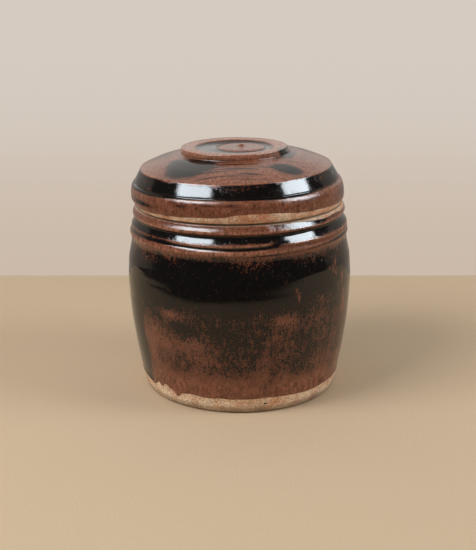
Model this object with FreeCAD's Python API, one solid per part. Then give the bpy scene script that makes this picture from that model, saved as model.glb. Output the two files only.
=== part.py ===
import FreeCAD, Part
import os

# Wheel-thrown stoneware jar with a flanged lid that rests on its rim.
# Millimetres, +Z up, origin at the centre of the foot, on the surface the jar stands on.
# Two solids: the jar and the lid. Both are turned forms, so each is a profile revolved about Z.

# Jar
JAR_HEIGHT = 92.2             # foot to the flat top of the rim, where the lid rests
BELLY_RADIUS = 54.1           # widest part of the jar
BELLY_HEIGHT = 55.0           # height of the widest part
FOOT_RADIUS = 47.4            # outer edge of the foot, above its bevel
FOOT_BEVEL_HEIGHT = 3.2       # trimmed bevel at the very bottom
FOOT_BEVEL_WIDTH = 1.0
WALL = 5.6                    # thrown wall at the belly
FLOOR = 7.0                   # thickness of the floor
FLOOR_CORNER = 11.4           # foot radius less the flat part of the floor inside

# Rim of the jar, with the tool lines under it
RIM_RADIUS = 51.2             # plain band under the rim
RIM_WIDTH = 7.2               # that band's outside to the mouth
RIM_TAPER = 0.3               # how far the band leans in at its top
RIM_ROUND = 1.4               # rounding of the rim's outer top edge
RIM_INNER_ROUND = 0.9
RIM_BAND_HEIGHT = 5.7         # rim top to the inner corner of the ledge
LEDGE_INSET = 0.2             # that corner inside the band
LEDGE_HEIGHT = 2.8            # sloping ledge, down to the upper ridge
RIDGE_STEP = 1.3              # upper ridge outside the band
GROOVE_HEIGHT = 3.5           # upper ridge to the lower ridge
GROOVE_DEPTH = 0.6            # groove between the two ridges
LOWER_RIDGE_STEP = 1.5        # lower ridge outside the band

# Lid
LID_INSET = 0.2               # lid's widest part inside the jar's band
SEAT_OVERLAP = 0.2            # lid's flat seat past the flat of the rim
SEAT_CHAMFER_WIDTH = 0.6
SEAT_CHAMFER_HEIGHT = 0.9
LID_BAND_HEIGHT = 11.1        # seat to the crease under the bevel
LID_BAND_ROUND = 2.1          # crease inside the lid's widest part
BEVEL_HEIGHT = 5.9            # glossy bevel, crease to the sharp shoulder
BEVEL_WIDTH = 3.5
CROWN_RISE = 5.7              # shoulder to the crease at the foot of the knob
CROWN_THICKNESS = 5.5         # that crease to the hollow underside at the centre

# Flange that holds the lid in the mouth
FLANGE_CLEARANCE = 0.9        # gap all round between the flange and the mouth
FLANGE_DEPTH = 7.0            # how far the flange drops into the jar
FLANGE_WALL = 3.6
FLANGE_CHAMFER = 1.0

# Knob: a low disc with a dished top
KNOB_RADIUS = 25.3
KNOB_UNDERCUT = 0.9           # knob's foot inside its edge
KNOB_HEIGHT = 3.1             # crease to the crest of the knob's rim
KNOB_EDGE_ROUND = 1.1
KNOB_RIM_WIDTH = 6.4          # raised rim, outer edge to the dish
DISH_DEPTH = 1.2              # crest to the bottom of the ring-shaped trough
TROUGH_WIDTH = 7.0            # dish edge to the low mound in the middle
POINT_RADIUS = 2.2            # base of the small centre point
POINT_HEIGHT = 1.0            # its tip above the crest of the rim

# Sizes that follow from those
MOUTH_RADIUS = RIM_RADIUS - RIM_WIDTH
LOWER_RIDGE_RADIUS = RIM_RADIUS + LOWER_RIDGE_STEP
LEDGE_TOP = JAR_HEIGHT - RIM_BAND_HEIGHT
UPPER_RIDGE = LEDGE_TOP - LEDGE_HEIGHT
LOWER_RIDGE = UPPER_RIDGE - GROOVE_HEIGHT
RIM_FLAT_RADIUS = RIM_RADIUS - RIM_TAPER - RIM_ROUND
LID_RADIUS = RIM_RADIUS - LID_INSET
SEAT_RADIUS = RIM_FLAT_RADIUS + SEAT_OVERLAP
CREASE = JAR_HEIGHT + LID_BAND_HEIGHT
SHOULDER_RADIUS = LID_RADIUS - LID_BAND_ROUND - BEVEL_WIDTH
SHOULDER = CREASE + BEVEL_HEIGHT
KNOB_FOOT = SHOULDER + CROWN_RISE
KNOB_CREST = KNOB_FOOT + KNOB_HEIGHT
UNDERSIDE_TOP = KNOB_FOOT - CROWN_THICKNESS
FLANGE_END = JAR_HEIGHT - FLANGE_DEPTH
MOUTH_END = FLANGE_END - 1.5 * FLANGE_CHAMFER


def at(radius, height):
    """A point of a turning profile."""
    return FreeCAD.Vector(radius, 0, height)


def line(start, end):
    return Part.makeLine(start, end)


def arc(start, middle, end):
    return Part.Arc(start, middle, end).toShape()


def curve(points, start_dir=None, end_dir=None):
    """A smooth curve through all the points, with the end directions when they are given."""
    spline = Part.BSplineCurve()
    if start_dir and end_dir:
        spline.interpolate(Points=points, InitialTangent=start_dir, FinalTangent=end_dir)
    else:
        spline.interpolate(points)
    return spline.toShape()


def turned(edges):
    """The solid swept by a closed profile turned once about Z."""
    face = Part.Face(Part.Wire(edges))
    solid = face.revolve(FreeCAD.Vector(0, 0, 0), FreeCAD.Vector(0, 0, 1), 360)
    if solid.Volume < 0:
        solid.reverse()
    return solid


def belly_curve():
    """Outside of the jar from the foot's bevel up to the lower ridge."""
    swell = BELLY_RADIUS - FOOT_RADIUS
    rise = LOWER_RIDGE - BELLY_HEIGHT
    neck_swell = BELLY_RADIUS - LOWER_RIDGE_RADIUS
    return curve([
        at(FOOT_RADIUS, FOOT_BEVEL_HEIGHT),
        at(FOOT_RADIUS + 0.15 * swell, 0.16 * BELLY_HEIGHT),
        at(FOOT_RADIUS + 0.52 * swell, 0.40 * BELLY_HEIGHT),
        at(FOOT_RADIUS + 0.86 * swell, 0.70 * BELLY_HEIGHT),
        at(BELLY_RADIUS, BELLY_HEIGHT),
        at(BELLY_RADIUS - 0.55 * neck_swell, BELLY_HEIGHT + 0.56 * rise),
        at(LOWER_RIDGE_RADIUS, LOWER_RIDGE),
    ])


def tool_line_edges():
    """The groove, the upper ridge and the sloping ledge under the rim."""
    ridge_radius = RIM_RADIUS + RIDGE_STEP
    ledge_radius = RIM_RADIUS - LEDGE_INSET
    lower_ridge = at(LOWER_RIDGE_RADIUS, LOWER_RIDGE)
    groove = at(LOWER_RIDGE_RADIUS - GROOVE_DEPTH, LOWER_RIDGE + 0.49 * GROOVE_HEIGHT)
    upper_ridge = at(ridge_radius, UPPER_RIDGE)
    ledge_middle = at(0.42 * ridge_radius + 0.58 * ledge_radius, UPPER_RIDGE + 0.48 * LEDGE_HEIGHT)
    ledge = at(ledge_radius, LEDGE_TOP)
    return [curve([lower_ridge, groove, upper_ridge]), curve([upper_ridge, ledge_middle, ledge])]


def rim_edges():
    """Band above the ledge, rounded rim and flat seat, ending inside the mouth."""
    ledge = at(RIM_RADIUS - LEDGE_INSET, LEDGE_TOP)
    band = at(RIM_RADIUS, 0.5 * (LEDGE_TOP + JAR_HEIGHT - RIM_ROUND))
    side = at(RIM_RADIUS - RIM_TAPER, JAR_HEIGHT - RIM_ROUND)
    corner = at(RIM_FLAT_RADIUS + 0.65 * RIM_ROUND, JAR_HEIGHT - 0.32 * RIM_ROUND)
    flat_start = at(RIM_FLAT_RADIUS, JAR_HEIGHT)
    flat_end = at(MOUTH_RADIUS + RIM_INNER_ROUND, JAR_HEIGHT)
    inner_corner = at(MOUTH_RADIUS + 0.29 * RIM_INNER_ROUND, JAR_HEIGHT - 0.29 * RIM_INNER_ROUND)
    mouth_top = at(MOUTH_RADIUS, JAR_HEIGHT - RIM_INNER_ROUND)
    return [
        arc(ledge, band, side),
        arc(side, corner, flat_start),
        line(flat_start, flat_end),
        arc(flat_end, inner_corner, mouth_top),
        line(mouth_top, at(MOUTH_RADIUS, MOUTH_END)),
    ]


def inside_curve():
    """Inside of the jar from the straight mouth down to the edge of the flat floor."""
    swell = BELLY_RADIUS - FOOT_RADIUS
    neck = 0.5 * (BELLY_RADIUS + LOWER_RIDGE_RADIUS)
    points = [
        at(MOUTH_RADIUS, MOUTH_END),
        at(neck - 1.21 * WALL, 0.5 * (BELLY_HEIGHT + JAR_HEIGHT)),
        at(BELLY_RADIUS - WALL, BELLY_HEIGHT),
        at(FOOT_RADIUS + 0.86 * swell - WALL, 0.70 * BELLY_HEIGHT),
        at(FOOT_RADIUS + 0.52 * swell - WALL, 0.40 * BELLY_HEIGHT),
        at(FOOT_RADIUS - 0.95 * WALL, FLOOR + 0.4 * FLOOR_CORNER),
        at(FOOT_RADIUS - FLOOR_CORNER, FLOOR),
    ]
    return curve(points, FreeCAD.Vector(0.05, 0, -1), FreeCAD.Vector(-1, 0, 0))


def jar():
    """Hollow jar: flat foot, belly, tool lines, rim with a flat seat, open mouth."""
    base_centre = at(0, 0)
    base_edge = at(FOOT_RADIUS - FOOT_BEVEL_WIDTH, 0)
    bevel_top = at(FOOT_RADIUS, FOOT_BEVEL_HEIGHT)
    floor_centre = at(0, FLOOR)
    floor_edge = at(FOOT_RADIUS - FLOOR_CORNER, FLOOR)
    edges = [line(base_centre, base_edge), line(base_edge, bevel_top), belly_curve()]
    edges += tool_line_edges()
    edges += rim_edges()
    edges += [inside_curve(), line(floor_edge, floor_centre), line(floor_centre, base_centre)]
    return turned(edges)


def lid_side_edges():
    """Outside of the lid from its seat to the foot of the knob."""
    seat_edge = at(SEAT_RADIUS, JAR_HEIGHT)
    corner = at(SEAT_RADIUS + SEAT_CHAMFER_WIDTH, JAR_HEIGHT + SEAT_CHAMFER_HEIGHT)
    widest = at(LID_RADIUS, JAR_HEIGHT + 0.43 * LID_BAND_HEIGHT)
    band_top = at(LID_RADIUS - 0.25 * LID_BAND_ROUND, JAR_HEIGHT + 0.82 * LID_BAND_HEIGHT)
    crease = at(LID_RADIUS - LID_BAND_ROUND, CREASE)
    shoulder_low = at(SHOULDER_RADIUS + 0.35, SHOULDER - 0.35)
    shoulder_high = at(SHOULDER_RADIUS - 0.45, SHOULDER + 0.15)
    knob_foot = at(KNOB_RADIUS - KNOB_UNDERCUT, KNOB_FOOT)
    reach = shoulder_high.x - knob_foot.x
    rise = knob_foot.z - shoulder_high.z
    crown_outer = at(knob_foot.x + 0.56 * reach, shoulder_high.z + 0.47 * rise)
    crown_inner = at(knob_foot.x + 0.15 * reach, shoulder_high.z + 0.82 * rise)
    return [
        line(seat_edge, corner),
        curve([corner, widest, band_top, crease]),
        line(crease, shoulder_low),
        line(shoulder_low, shoulder_high),
        curve([shoulder_high, crown_outer, crown_inner, knob_foot]),
    ]


def knob_edges():
    """Side of the knob, its raised rim, the ring-shaped trough, the mound and its point."""
    dish_radius = KNOB_RADIUS - KNOB_RIM_WIDTH
    mound_radius = dish_radius - TROUGH_WIDTH
    foot = at(KNOB_RADIUS - KNOB_UNDERCUT, KNOB_FOOT)
    side = at(KNOB_RADIUS, KNOB_CREST - KNOB_EDGE_ROUND)
    edge = at(KNOB_RADIUS - 0.32 * KNOB_EDGE_ROUND, KNOB_CREST - 0.2 * KNOB_EDGE_ROUND)
    crest = at(KNOB_RADIUS - 1.27 * KNOB_EDGE_ROUND, KNOB_CREST)
    dish_edge = at(dish_radius, KNOB_CREST - 0.3 * DISH_DEPTH)
    trough = at(dish_radius - 0.47 * TROUGH_WIDTH, KNOB_CREST - DISH_DEPTH)
    mound = at(mound_radius, KNOB_CREST - 0.65 * DISH_DEPTH)
    mound_top = at(0.5 * mound_radius, KNOB_CREST - 0.42 * DISH_DEPTH)
    point_base = at(POINT_RADIUS, KNOB_CREST - 0.32 * DISH_DEPTH)
    point_side = at(0.42 * POINT_RADIUS, KNOB_CREST + 0.35 * POINT_HEIGHT)
    tip = at(0, KNOB_CREST + POINT_HEIGHT)
    return [
        line(foot, side),
        arc(side, edge, crest),
        line(crest, dish_edge),
        curve([dish_edge, trough, mound, mound_top, point_base]),
        curve([point_base, point_side, tip]),
    ]


def lid_underside_edges():
    """Hollow underside, the locating flange and the flat seat."""
    outer = MOUTH_RADIUS - FLANGE_CLEARANCE
    inner = outer - FLANGE_WALL
    rise = UNDERSIDE_TOP - JAR_HEIGHT
    inner_low = at(inner, FLANGE_END + FLANGE_CHAMFER)
    end_inner = at(inner + FLANGE_CHAMFER, FLANGE_END)
    end_outer = at(outer - FLANGE_CHAMFER, FLANGE_END)
    outer_low = at(outer, FLANGE_END + FLANGE_CHAMFER)
    seat_inner = at(outer, JAR_HEIGHT)
    dome = [
        at(0, UNDERSIDE_TOP),
        at(0.50 * inner, JAR_HEIGHT + 0.93 * rise),
        at(0.83 * inner, JAR_HEIGHT + 0.74 * rise),
        at(0.99 * inner, JAR_HEIGHT + 0.40 * rise),
        at(1.01 * inner, JAR_HEIGHT),
        inner_low,
    ]
    return [
        curve(dome, FreeCAD.Vector(1, 0, 0), FreeCAD.Vector(-0.05, 0, -1)),
        line(inner_low, end_inner),
        line(end_inner, end_outer),
        line(end_outer, outer_low),
        line(outer_low, seat_inner),
        line(seat_inner, at(SEAT_RADIUS, JAR_HEIGHT)),
    ]


def lid():
    """Lid with its knob, resting by a flat seat on the jar's rim."""
    edges = lid_side_edges()
    edges += knob_edges()
    edges.append(line(at(0, KNOB_CREST + POINT_HEIGHT), at(0, UNDERSIDE_TOP)))
    edges += lid_underside_edges()
    return turned(edges)


os.makedirs("parts", exist_ok=True)
for name, solid in (("jar", jar()), ("lid", lid())):
    solid.exportStep("parts/" + name + ".step")
    print(name, "valid", solid.isValid(), "volume %.1f cm3" % (solid.Volume / 1000))
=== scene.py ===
import math
from types import SimpleNamespace

import bpy
import numpy as np
from mathutils import Matrix, Vector, noise


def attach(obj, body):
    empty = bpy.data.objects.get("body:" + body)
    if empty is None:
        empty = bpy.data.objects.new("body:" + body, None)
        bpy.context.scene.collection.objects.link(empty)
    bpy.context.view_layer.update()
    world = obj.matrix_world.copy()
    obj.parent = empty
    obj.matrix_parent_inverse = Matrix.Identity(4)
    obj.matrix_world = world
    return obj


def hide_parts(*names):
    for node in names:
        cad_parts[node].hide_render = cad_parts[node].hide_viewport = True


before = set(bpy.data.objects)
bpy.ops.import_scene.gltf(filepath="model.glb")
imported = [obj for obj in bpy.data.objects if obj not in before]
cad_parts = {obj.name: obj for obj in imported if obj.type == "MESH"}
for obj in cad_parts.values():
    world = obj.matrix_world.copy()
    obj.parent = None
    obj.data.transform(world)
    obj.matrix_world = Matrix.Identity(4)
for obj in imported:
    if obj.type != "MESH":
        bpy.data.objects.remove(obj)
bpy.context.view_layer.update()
print("frame loaded")

mm = 0.001
toMm = 1000.0


# helpers for colours and node trees

def paint(red, green, blue):
    # a colour as a paint chart gives it, 0 to 255, made linear
    def one(value):
        value = value / 255
        return value / 12.92 if value <= 0.04045 else ((value + 0.055) / 1.055) ** 2.4
    return (one(red), one(green), one(blue), 1.0)


def join(value, socket):
    # wires a socket, or sets a plain number, name or colour
    if isinstance(value, bpy.types.NodeSocket):
        socket.id_data.links.new(value, socket)
    else:
        socket.default_value = value


def put(tree, kind, wires=(), **settings):
    # a new node; wires gives its inputs by name or by number
    node = tree.nodes.new(kind)
    for name, value in settings.items():
        setattr(node, name, value)
    for key, value in dict(wires).items():
        join(value, node.inputs[key])
    return node


signs = {"+": "ADD", "-": "SUBTRACT", "*": "MULTIPLY", "/": "DIVIDE", "%": "MODULO", "^": "POWER",
         ">": "GREATER_THAN", "<": "LESS_THAN"}


def calc(value, *steps, clamp=False):
    # a sum worked out from left to right, such as calc(height, "*", 2, "+", depth)
    for sign, other in zip(steps[::2], steps[1::2]):
        tree = (value if isinstance(value, bpy.types.NodeSocket) else other).id_data
        value = put(tree, "ShaderNodeMath", {0: value, 1: other}, operation=signs.get(sign, sign),
                    use_clamp=clamp).outputs[0]
    return value


def calcOne(operation, value):
    return put(value.id_data, "ShaderNodeMath", {0: value}, operation=operation).outputs[0]


def addScaled(value, scale, base, clamp=False):
    return put(value.id_data, "ShaderNodeMath", {0: value, 1: scale, 2: base}, operation="MULTIPLY_ADD",
               use_clamp=clamp).outputs[0]


def calcVector(operation, a, b):
    second = "Scale" if operation == "SCALE" else 1
    node = put(a.id_data, "ShaderNodeVectorMath", {0: a, second: b}, operation=operation)
    return node.outputs["Value" if operation == "DOT_PRODUCT" else 0]


def combine(*axes):
    tree = next(axis.id_data for axis in axes if isinstance(axis, bpy.types.NodeSocket))
    return put(tree, "ShaderNodeCombineXYZ", enumerate(axes)).outputs[0]


def split(vector):
    return put(vector.id_data, "ShaderNodeSeparateXYZ", {0: vector}).outputs


def blendIn(amount, low, high, kind="RGBA"):
    # low where amount is 0, high where it is 1; kind is RGBA for colours and FLOAT for numbers
    first, result = {"RGBA": (6, 2), "FLOAT": (2, 0)}[kind]
    wires = {0: amount, first: low, first + 1: high}
    return put(amount.id_data, "ShaderNodeMix", wires, data_type=kind, clamp_factor=True).outputs[result]


def ease(value, low, high, fromLow=0.0, fromHigh=1.0):
    # a soft step from low to high while value goes from fromLow to fromHigh
    wires = enumerate((value, fromLow, fromHigh, low, high))
    return put(value.id_data, "ShaderNodeMapRange", wires, interpolation_type="SMOOTHSTEP").outputs[0]


def grain(place, scale, size, detail, roughness):
    # fine noise from 0 to 1; scale is in cells per metre for a size of 1
    wires = {"Vector": place, "Scale": calc(scale, "/", size), "Detail": detail, "Roughness": roughness}
    return put(place.id_data, "ShaderNodeTexNoise", wires).outputs[0]


def newPiece(name, data):
    piece = bpy.data.objects.new(name, data)
    bpy.context.scene.collection.objects.link(piece)
    return piece


def newGroup(name, kind, inputs, outputs):
    # kind is Shader or Geometry; each input has its default or its type, each output its type
    tree = bpy.data.node_groups.new(name, kind + "NodeTree")
    types = {int: "Int", float: "Float", tuple: "Color"}
    for sockets, side in ((inputs, "INPUT"), (outputs, "OUTPUT")):
        for label, given in sockets.items():
            socketType = "NodeSocket" + types.get(type(given), str(given))
            socket = tree.interface.new_socket(label, in_out=side, socket_type=socketType)
            if type(given) in types:
                socket.default_value = given
    source = put(tree, "NodeGroupInput")
    sink = put(tree, "NodeGroupOutput")
    return tree, source.outputs, sink.inputs


def useGroup(tree, group, **values):
    # places a group; the keys are input names with the spaces left out
    kind = "GeometryNodeGroup" if tree.bl_idname == "GeometryNodeTree" else "ShaderNodeGroup"
    node = put(tree, kind, node_tree=group)
    for socket in node.inputs:
        key = socket.name.replace(" ", "")
        key = key[0].lower() + key[1:]
        if key in values:
            join(values.pop(key), socket)
    if values:
        raise KeyError(f"{group.name} has no input {list(values)}")
    return node.outputs


# outlines: half sections that the wheel turns, radius and height in mm

def run(points, spacing):
    # a smooth run through the points, cut into short steps; two points give a straight line
    made = []
    count = len(points)
    for i in range(count - 1):
        a, b = Vector(points[i]), Vector(points[i + 1])
        before = Vector(points[i - 1]) if i > 0 else a - (b - a)
        after = Vector(points[i + 2]) if i + 2 < count else b + (b - a)
        length = (b - a).length
        slopeA = (b - before) / max(length + (a - before).length, 1e-6) * length
        slopeB = (after - a) / max((after - b).length + length, 1e-6) * length
        steps = max(1, round(length / spacing))
        for k in range(steps):
            t = k / steps
            made.append(a * (2 * t**3 - 3 * t**2 + 1) + slopeA * (t**3 - 2 * t**2 + t)
                        + b * (3 * t**2 - 2 * t**3) + slopeB * (t**3 - t**2))
    made.append(Vector(points[-1]))
    return made


def outline(name, start, runs):
    # chains runs into one open line of vertices; each is its spacing, then its points on from the one before
    line = [Vector(start)]
    for spacing, *points in runs:
        line += run([line[-1], *points], spacing)[1:]
    mesh = bpy.data.meshes.new(name)
    edges = [(i, i + 1) for i in range(len(line) - 1)]
    mesh.from_pydata([(p[0] * mm, 0, p[1] * mm) for p in line], edges, [])
    print(name, "outline", len(line), "points")
    return newPiece(name, mesh)


# geometry groups

def readMark(tree, name):
    node = put(tree, "GeometryNodeInputNamedAttribute", {"Name": name}, data_type="FLOAT")
    return node.outputs["Attribute"]


def keepMark(form, name, value):
    wires = {"Geometry": form, "Name": name, "Value": value}
    return put(form.id_data, "GeometryNodeStoreNamedAttribute", wires, data_type="FLOAT").outputs[0]


hands = {   # what the potter's hands leave behind on both pieces
    "wobbleClimb": 22.0,   # how fast the slow wobble changes up the wall, per metre
    "wobbleScale": 0.9,
    "ringDrift": 0.6, "ringScale": 2.0,
    "stillReach": (0.004, 0.03),   # no wobble nearer the axis than the first, all of it past the second
    "seamGap": 4e-7,
}


def makeWheel():
    # turns an outline once round: a grid whose rows read the outline's points.
    # azimuth is in degrees, 0 at the front and positive to the right; height and reach are in mm
    tree, given, made = newGroup("wheel", "Geometry", {
        "Outline": "Geometry", "Steps Round": 480, "Wobble": 0.2, "Throwing Rings": 0.1,
        "Ring Spacing": 6.0, "Seed": 1.0}, {"Form": "Geometry"})
    size = put(tree, "GeometryNodeAttributeDomainSize", {0: given["Outline"]}, component="MESH")
    rows, steps = size.outputs["Point Count"], given["Steps Round"]
    grid = put(tree, "GeometryNodeMeshGrid", {"Vertices X": calc(steps, "+", 1), "Vertices Y": rows})
    index = put(tree, "GeometryNodeInputIndex").outputs[0]
    turn = calc(calcOne("FLOOR", calc(index, "+", 0.5, "/", rows)), "/", steps)
    azimuth = addScaled(turn, 360.0, -180.0)
    place = put(tree, "GeometryNodeSampleIndex", {
        "Geometry": given["Outline"], "Value": put(tree, "GeometryNodeInputPosition").outputs[0],
        "Index": calc(index, "%", rows)}, data_type="FLOAT_VECTOR", domain="POINT", clamp=True)
    parts = split(place.outputs[0])
    reach, height = parts[0], parts[2]
    angle = calcOne("RADIANS", azimuth)
    sine, cosine = calcOne("SINE", angle), calcOne("COSINE", angle)

    # the hand's slow wobble and the fine rings left by the fingers, with none at the axis, which stays closed
    around = combine(sine, cosine, calc(height, "*", hands["wobbleClimb"]))
    slow = put(tree, "ShaderNodeTexNoise", {
        "Vector": around, "W": given["Seed"], "Scale": hands["wobbleScale"], "Detail": 1.0},
        noise_dimensions="4D")
    climb = calc(height, "*", toMm, "/", given["Ring Spacing"])
    climb = addScaled(calc(turn, "PINGPONG", 0.5), hands["ringDrift"], climb)
    rings = put(tree, "ShaderNodeTexNoise", {
        "W": climb, "Scale": hands["ringScale"], "Detail": 1.0}, noise_dimensions="1D")
    wobble = calc(slow.outputs[0], "-", 0.5, "*", given["Wobble"])
    fine = calc(rings.outputs[0], "-", 0.5, "*", given["Throwing Rings"])
    swell = calc(wobble, "+", fine, "*", mm, "*", ease(reach, 0.0, 1.0, *hands["stillReach"]))
    radius = calc(reach, "+", swell)
    spot = combine(calc(radius, "*", sine), calc(radius, "*", cosine, "*", -1.0), height)

    # the fields read the grid's index, so they are stored before the seam is closed
    form = grid.outputs["Mesh"]
    form = keepMark(form, "azimuth", azimuth)
    form = keepMark(form, "height", calc(height, "*", toMm))
    form = keepMark(form, "reach", calc(reach, "*", toMm))
    turned = put(tree, "GeometryNodeSetPosition", {"Geometry": form, "Position": spot}).outputs[0]
    close = put(tree, "GeometryNodeMergeByDistance", {"Geometry": turned, "Distance": hands["seamGap"]})
    join(close.outputs[0], made["Form"])
    return tree


def pathCurve(value, points, span, low, high):
    # a curve through given (value, result) points, for values from 0 to span and results from low to high
    node = put(value.id_data, "ShaderNodeFloatCurve", {"Value": calc(value, "/", span)})
    line = node.mapping.curves[0]
    spots = [(a / span, (b - low) / (high - low)) for a, b in points]
    line.points[0].location = spots[0]
    line.points[1].location = spots[-1]
    for spot in spots[1:-1]:
        line.points.new(*spot)
    node.mapping.update()
    return addScaled(node.outputs[0], high - low, low)


grooveLimits = {"level": (74.0, 96.0), "depth": (0.0, 2.0), "width": (0.0, 4.0)}   # in mm


def makeToolGroove(name, groove):
    # one pass of the turning tool: a groove that climbs as the pot turns.
    # Turned is how far round it is from its start, in degrees, and may be past a full turn
    tree, given, made = newGroup(name, "Geometry", {"Turned": 0.0, "Height": 80.0}, {"Cut": "Float"})
    turned, span = given["Turned"], groove["end"]
    level, depth, width = (pathCurve(turned, groove[key], span, *limits)
                           for key, limits in grooveLimits.items())
    off = calcOne("ABSOLUTE", calc(given["Height"], "-", level, "/", width))
    inside = calc(calc(turned, ">", 0.0), "*", calc(turned, "<", span))
    join(calc(ease(off, 1.0, 0.0), "*", depth, "*", inside), made["Cut"])
    return tree


def toolPass(tree, name, groove, laps=1):
    # how deep the tool has cut in one lap of the pot or more
    group = makeToolGroove(name, groove)
    start = calc(readMark(tree, "azimuth"), "-", groove["start"])
    cuts = 0.0
    for lap in range(laps):
        cut = useGroup(tree, group, turned=calc(start, "+", 360.0 * lap), height=readMark(tree, "height"))[0]
        cuts = calc(cuts, "+", cut)
    return cuts


sagReach = 0.05   # metres out, where the sides sink by all of Sag


def makeSettle():
    # the upper part of a soft pot leans: all above Top is tilted and moved in full, nothing below Base.
    # Sag is how far the left and right sides sink, in mm
    tree, given, made = newGroup("settle", "Geometry", {
        "Form": "Geometry", "Base": 0.0, "Top": 90.0, "Tilt Right": 0.0, "Tilt Front": 0.0, "Shift": 0.0,
        "Sag": 0.0}, {"Form": "Geometry"})
    span = (readMark(tree, "height"), given["Base"], given["Top"])
    share = put(tree, "ShaderNodeMapRange", enumerate(span)).outputs[0]
    east, north = split(put(tree, "GeometryNodeInputPosition").outputs[0])[:2]
    rise = calc(calc(east, "*", given["Tilt Right"]), "-", calc(north, "*", given["Tilt Front"]))
    sides = calc(calcOne("ABSOLUTE", calc(east, "/", sagReach)), "^", 2.0)
    rise = calc(rise, "-", calc(sides, "*", given["Sag"], "*", mm))
    offset = combine(calc(given["Shift"], "*", share, "*", mm), 0.0, calc(rise, "*", share))
    move = put(tree, "GeometryNodeSetPosition", {"Geometry": given["Form"], "Offset": offset})
    join(move.outputs[0], made["Form"])
    return tree


def makeHollows():
    # stores how far each place lies inside the surface around it, in mm: hollows above 0, edges below
    tree, given, made = newGroup("markHollows", "Geometry", {"Form": "Geometry", "Reach": 7},
                                 {"Form": "Geometry"})
    place = put(tree, "GeometryNodeInputPosition").outputs[0]
    blur = put(tree, "GeometryNodeBlurAttribute", {0: place, "Iterations": given["Reach"]},
               data_type="FLOAT_VECTOR")
    gap = calcVector("SUBTRACT", blur.outputs[0], place)
    inward = calcVector("DOT_PRODUCT", gap, put(tree, "GeometryNodeInputNormal").outputs[0])
    join(keepMark(given["Form"], "hollow", calc(inward, "*", toMm)), made["Form"])
    return tree


wheel = makeWheel()
settle = makeSettle()
markHollows = makeHollows()


def pressIn(form, depth):
    # moves the wall towards the axis by a depth in mm
    outward = calc(depth, "*", -mm)
    angle = calcOne("RADIANS", readMark(form.id_data, "azimuth"))
    push = combine(calc(outward, "*", calcOne("SINE", angle)),
                   calc(outward, "*", -1.0, "*", calcOne("COSINE", angle)), 0.0)
    return put(form.id_data, "GeometryNodeSetPosition", {"Geometry": form, "Offset": push}).outputs[0]


def makeForm(name, sizes, shapeWall):
    # the whole making of a piece: turned, its wall pressed in as shapeWall says, settled and given its glaze
    tree, given, made = newGroup(name, "Geometry", {"Outline": "Geometry", "Glaze": "Material"},
                                 {"Form": "Geometry"})
    form = useGroup(tree, wheel, outline=given["Outline"], **sizes["turning"])[0]
    form = pressIn(*shapeWall(tree, form))
    form = useGroup(tree, markHollows, form=form)[0]
    for lean in sizes["leans"]:
        form = useGroup(tree, settle, form=form, **lean)[0]
    real = put(tree, "GeometryNodeRealizeInstances", {0: form})
    coat = put(tree, "GeometryNodeSetMaterial", {"Geometry": real.outputs[0], "Material": given["Glaze"]})
    smooth = put(tree, "GeometryNodeSetShadeSmooth", {"Geometry": coat.outputs[0]})
    join(smooth.outputs[0], made["Form"])
    return tree


def turnPiece(name, line, tree, material):
    # runs a piece's tree on its outline and gives back a plain closed mesh
    modifier = line.modifiers.new(name, "NODES")
    modifier.node_group = tree
    for socket in tree.interface.items_tree:
        if socket.in_out == "INPUT" and socket.name == "Glaze":
            modifier[socket.identifier] = material
    seen = line.evaluated_get(bpy.context.evaluated_depsgraph_get())
    mesh = bpy.data.meshes.new_from_object(seen)
    line.modifiers.remove(modifier)
    bpy.data.objects.remove(line)
    mesh.name = name
    return newPiece(name, mesh)


# marks and small moves on a finished mesh

def readMarks(mesh, *names):
    found = []
    for name in names:
        values = np.zeros(len(mesh.vertices), np.float32)
        mesh.attributes[name].data.foreach_get("value", values)
        found.append(values.astype(float))
    return found


def writeMark(mesh, name, values):
    layer = mesh.attributes.get(name) or mesh.attributes.new(name, "FLOAT", "POINT")
    layer.data.foreach_set("value", np.asarray(values, np.float32))


def moveBy(mesh, offsets):
    # moves every vertex by its own offset, in metres
    places = np.zeros(len(mesh.vertices) * 3)
    mesh.vertices.foreach_get("co", places)
    mesh.vertices.foreach_set("co", places + offsets.ravel())
    mesh.update()


def raiseCoat(mesh, amounts):
    # moves every vertex along its normal, in mm
    normals = np.zeros(len(mesh.vertices) * 3)
    mesh.vertex_normals.foreach_get("vector", normals)
    moveBy(mesh, normals.reshape(-1, 3) * (amounts * mm)[:, None])


def step(values, low, high):
    t = np.clip((values - low) / (high - low), 0, 1)
    return t * t * (3 - 2 * t)


def drawn(values, points):
    # a value read off a line drawn through given (place, value) points
    return np.interp(values, [p[0] for p in points], [p[1] for p in points])


def cloud(mesh, scale, seed, stretch=1.0):
    # smooth random field over the piece, about -1 to 1; scale is cells per metre
    shift = Vector((seed * 7.3, seed * 3.1, seed * 5.7))
    return np.array([noise.noise(Vector((v.co.x, v.co.y, v.co.z * stretch)) * scale + shift)
                     for v in mesh.vertices])


def clouds(mesh, fields):
    # random fields added up, each given as its share, then as cloud takes it
    return sum(share * cloud(mesh, *field) for share, *field in fields)


def turnGap(azimuth, centre):
    # degrees from centre, the short way round
    return (azimuth - centre + 180) % 360 - 180


def ovalGap(across, up, wide, tall):
    # 0 in the middle of an oval, 1 on its edge
    return (across / wide) ** 2 + (up / tall) ** 2


def dab(gap, hardness=1.0, fade=0.8):
    # a soft oval touch of the brush
    return np.exp(-gap**hardness * fade)


thickRange = (-1.0, 1.6)   # glaze: all rust at the low end, solid black at the high end


# the jar

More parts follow.
